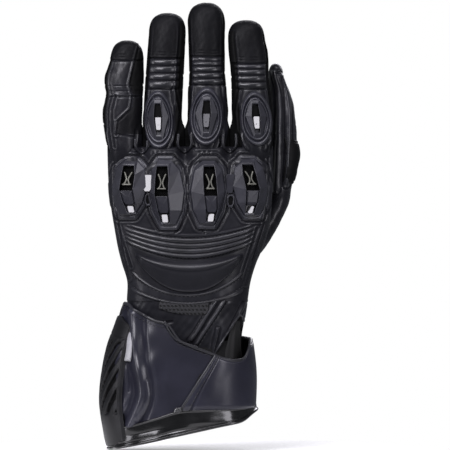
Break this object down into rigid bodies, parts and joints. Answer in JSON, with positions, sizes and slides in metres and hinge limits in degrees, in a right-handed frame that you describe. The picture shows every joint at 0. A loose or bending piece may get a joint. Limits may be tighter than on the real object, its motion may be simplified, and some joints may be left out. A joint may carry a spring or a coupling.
{
  "type": "motorcycle race glove",
  "caption": "Left-hand gauntlet glove for motorcycle riding: armoured knuckles and fingers, flexing wrist, closing cuff flap and wrist strap.",
  "frame": {"origin": "on the forearm's axis, at the level of the hem's lowest corner, which is where the wearer's arm goes in", "axes": "+Z towards the fingertips, +X towards the thumb, +Y out of the palm; the back of the hand faces -Y"},
  "size_m": [0.1375, 0.076, 0.3037],
  "materials": {
    "leather": "satin",
    "stretch_leather": "satin",
    "coated_leather": "satin",
    "fabric": "matt",
    "suede": "matt",
    "armour": "moulded, satin",
    "slider": "smooth, semi-gloss",
    "patent": "patent gloss",
    "gloss_insert": "gloss",
    "vent_mesh": "open mesh",
    "hook_tape": "touch tape"
  },
  "bodies": {
    "cuff": {"hem_binding": "patent", "cuff_back": "coated_leather", "cuff_gusset": "fabric", "cuff_palm": "leather", "cuff_loop_patch": "hook_tape", "ulnar_guard": "armour", "cuff_lining": "fabric", "wrist_back": "leather", "wrist_palm": "leather", "back_pad": "leather", "wrist_band": "leather", "wrist_tongue": "fabric"},
    "cuff_flap": {"cuff_flap": "leather", "cuff_hook_patch": "hook_tape"},
    "wrist_strap": {"wrist_strap": "leather"},
    "hand": {"wrist_accordion": "stretch_leather", "wrist_gather": "stretch_leather", "back_panel": "leather", "little_edge_panel": "leather", "palm_panel": "leather", "index_side_panel": "leather", "thumb_root": "leather", "palm_patch": "suede", "palm_slider": "slider", "knuckle_base_outer": "armour", "knuckle_base_inner": "armour", "knuckle_vent_outer": "vent_mesh", "knuckle_vent_inner": "vent_mesh", "knuckle_pod_little": "armour", "knuckle_plate_little": "slider", "knuckle_pod_ring": "armour", "knuckle_plate_ring": "slider", "knuckle_pod_middle": "armour", "knuckle_plate_middle": "slider", "knuckle_pod_index": "armour", "knuckle_plate_index": "slider", "link_insert_outer": "gloss_insert", "link_insert_inner": "gloss_insert"},
    "little_lower": {"little_stall": "leather", "little_accordion": "stretch_leather"},
    "little_upper": {"little_tip": "leather"},
    "ring_lower": {"ring_stall": "leather", "ring_accordion": "stretch_leather", "ring_guard_rim": "leather", "ring_guard_insert": "armour"},
    "ring_upper": {"ring_tip": "leather"},
    "middle_lower": {"middle_stall": "leather", "middle_accordion": "stretch_leather", "middle_guard_rim": "leather", "middle_guard_insert": "armour"},
    "middle_upper": {"middle_tip": "leather"},
    "index_lower": {"index_stall": "leather", "index_accordion": "stretch_leather", "index_guard_rim": "leather", "index_guard_insert": "armour"},
    "index_upper": {"index_tip": "leather"},
    "thumb_lower": {"thumb_stall": "leather", "thumb_accordion": "stretch_leather", "thumb_patch": "suede"},
    "thumb_upper": {"thumb_tip": "leather"}
  },
  "joints": [
    {"name": "wrist_bend", "type": "hinge", "parent": "cuff", "child": "hand", "pos_m": [0, 0, 0.128], "axis": [-1, 0, 0], "range_deg": [-20, 30], "deforming": ["wrist_accordion", "wrist_gather"]},
    {"name": "cuff_flap_open", "type": "hinge", "parent": "cuff", "child": "cuff_flap", "pos_m": [0.048, -0.0016, 0.045], "axis": [0, 0, 1], "range_deg": [0, 110]},
    {"name": "wrist_strap_open", "type": "hinge", "parent": "cuff", "child": "wrist_strap", "pos_m": [0.044, 0.0078, 0.094], "axis": [0, 0, -1], "range_deg": [0, 100]},
    {"name": "little_knuckle_bend", "type": "hinge", "parent": "hand", "child": "little_lower", "pos_m": [-0.0422, 0.005, 0.2035], "axis": [-1, 0, 0], "range_deg": [0, 60]},
    {"name": "little_finger_bend", "type": "hinge", "parent": "little_lower", "child": "little_upper", "pos_m": [-0.0422, 0.00727, 0.2475], "axis": [-1, 0, 0], "range_deg": [0, 70], "deforming": ["little_accordion"]},
    {"name": "ring_knuckle_bend", "type": "hinge", "parent": "hand", "child": "ring_lower", "pos_m": [-0.0148, 0.005, 0.2035], "axis": [-1, 0, 0], "range_deg": [0, 60]},
    {"name": "ring_finger_bend", "type": "hinge", "parent": "ring_lower", "child": "ring_upper", "pos_m": [-0.0148, 0.008, 0.254], "axis": [-1, 0, 0], "range_deg": [0, 70], "deforming": ["ring_accordion"]},
    {"name": "middle_knuckle_bend", "type": "hinge", "parent": "hand", "child": "middle_lower", "pos_m": [0.015, 0.005, 0.2035], "axis": [-1, 0, 0], "range_deg": [0, 60]},
    {"name": "middle_finger_bend", "type": "hinge", "parent": "middle_lower", "child": "middle_upper", "pos_m": [0.015, 0.00825, 0.256], "axis": [-1, 0, 0], "range_deg": [0, 70], "deforming": ["middle_accordion"]},
    {"name": "index_knuckle_bend", "type": "hinge", "parent": "hand", "child": "index_lower", "pos_m": [0.0467, 0.005, 0.2035], "axis": [-1, 0, 0], "range_deg": [0, 60]},
    {"name": "index_finger_bend", "type": "hinge", "parent": "index_lower", "child": "index_upper", "pos_m": [0.0467, 0.00788, 0.253], "axis": [-1, 0, 0], "range_deg": [0, 70], "deforming": ["index_accordion"]},
    {"name": "thumb_root_bend", "type": "hinge", "parent": "hand", "child": "thumb_lower", "pos_m": [0.0638, 0.023, 0.168], "axis": [-1, 0, 0], "range_deg": [0, 40]},
    {"name": "thumb_tip_bend", "type": "hinge", "parent": "thumb_lower", "child": "thumb_upper", "pos_m": [0.0638, 0.0275, 0.222], "axis": [-1, 0, 0], "range_deg": [0, 50], "deforming": ["thumb_accordion"]}
  ]
}
